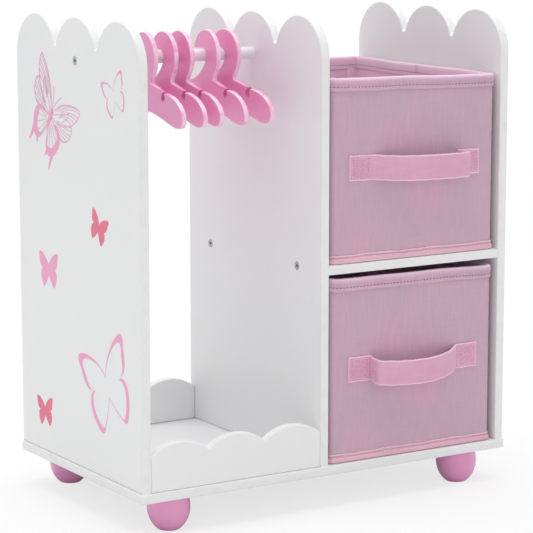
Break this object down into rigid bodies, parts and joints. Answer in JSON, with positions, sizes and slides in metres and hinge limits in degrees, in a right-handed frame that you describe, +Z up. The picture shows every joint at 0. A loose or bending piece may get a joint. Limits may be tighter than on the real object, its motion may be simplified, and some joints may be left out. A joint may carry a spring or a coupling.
{
  "type": "doll wardrobe",
  "caption": "White doll wardrobe with lobed uprights, an open hanging bay with pink hangers, and pull-out fabric bins on ball feet.",
  "frame": {"origin": "on the floor, under the middle of the whole box around the part, straps included", "axes": "+Z up, -Y towards the front where the bins pull out, +X towards the bins"},
  "size_m": [0.4254, 0.2726, 0.4826],
  "materials": {
    "white_paint": "white satin paint on board",
    "hanger_plastic": "moulded, soft gloss",
    "foot_lacquer": "pink gloss lacquer on turned wood",
    "bin_cloth": "woven non-stretch cloth over board",
    "bin_binding": "folded hem cloth",
    "strap_cloth": "stitched strap cloth",
    "grey_board": "raw card",
    "screw_steel": "dark zinc"
  },
  "bodies": {
    "case": {"base_board": "white_paint", "left_side_panel": "white_paint", "divider_panel": "white_paint", "right_side_panel": "white_paint", "bin_shelf": "white_paint", "front_foot_rail": "white_paint", "back_foot_rail": "white_paint", "hanging_rail": "white_paint", "hanging_rail_screw_left": "screw_steel", "hanging_rail_screw_right": "screw_steel", "shelf_screw_left_front": "screw_steel", "shelf_screw_right_front": "screw_steel", "shelf_screw_left_back": "screw_steel", "shelf_screw_right_back": "screw_steel", "base_screw_left_front": "screw_steel", "base_screw_left_back": "screw_steel", "base_screw_divider_front": "screw_steel", "base_screw_divider_back": "screw_steel", "base_screw_right_front": "screw_steel", "base_screw_right_back": "screw_steel", "foot_rail_screw_front_left": "screw_steel", "foot_rail_screw_front_right": "screw_steel", "foot_rail_screw_back_left": "screw_steel", "foot_rail_screw_back_right": "screw_steel", "foot_front_left": "foot_lacquer", "foot_front_right": "foot_lacquer", "foot_back_left": "foot_lacquer", "foot_back_right": "foot_lacquer", "foot_stud_front_left": "screw_steel", "foot_stud_front_right": "screw_steel", "foot_stud_back_left": "screw_steel", "foot_stud_back_right": "screw_steel"},
    "lower_bin": {"lower_bin_shell": "bin_cloth", "lower_bin_hem": "bin_binding", "lower_bin_piping": "bin_binding", "lower_bin_floor_insert": "grey_board", "lower_bin_strap": "strap_cloth"},
    "upper_bin": {"upper_bin_shell": "bin_cloth", "upper_bin_hem": "bin_binding", "upper_bin_piping": "bin_binding", "upper_bin_floor_insert": "grey_board", "upper_bin_strap": "strap_cloth"},
    "hanger_1": {"hanger_1": "hanger_plastic"},
    "hanger_2": {"hanger_2": "hanger_plastic"},
    "hanger_3": {"hanger_3": "hanger_plastic"},
    "hanger_4": {"hanger_4": "hanger_plastic"},
    "hanger_5": {"hanger_5": "hanger_plastic"}
  },
  "joints": [
    {"name": "lower_bin_pull", "type": "slide", "parent": "case", "child": "lower_bin", "axis": [0, -1, 0], "range_m": [0, 0.24]},
    {"name": "upper_bin_pull", "type": "slide", "parent": "case", "child": "upper_bin", "axis": [0, -1, 0], "range_m": [0, 0.24]},
    {"name": "hanger_1_swing", "type": "hinge", "parent": "case", "child": "hanger_1", "pos_m": [-0.13701, 0.00765, 0.4409], "axis": [1, 0, 0], "range_deg": [-30, 30]},
    {"name": "hanger_2_swing", "type": "hinge", "parent": "case", "child": "hanger_2", "pos_m": [-0.11513, 0.00765, 0.4409], "axis": [1, 0, 0], "range_deg": [-30, 30]},
    {"name": "hanger_3_swing", "type": "hinge", "parent": "case", "child": "hanger_3", "pos_m": [-0.09767, 0.00765, 0.4409], "axis": [1, 0, 0], "range_deg": [-30, 30]},
    {"name": "hanger_4_swing", "type": "hinge", "parent": "case", "child": "hanger_4", "pos_m": [-0.06682, 0.00765, 0.4409], "axis": [1, 0, 0], "range_deg": [-30, 30]},
    {"name": "hanger_5_swing", "type": "hinge", "parent": "case", "child": "hanger_5", "pos_m": [-0.04597, 0.00765, 0.4409], "axis": [1, 0, 0], "range_deg": [-30, 30]}
  ]
}
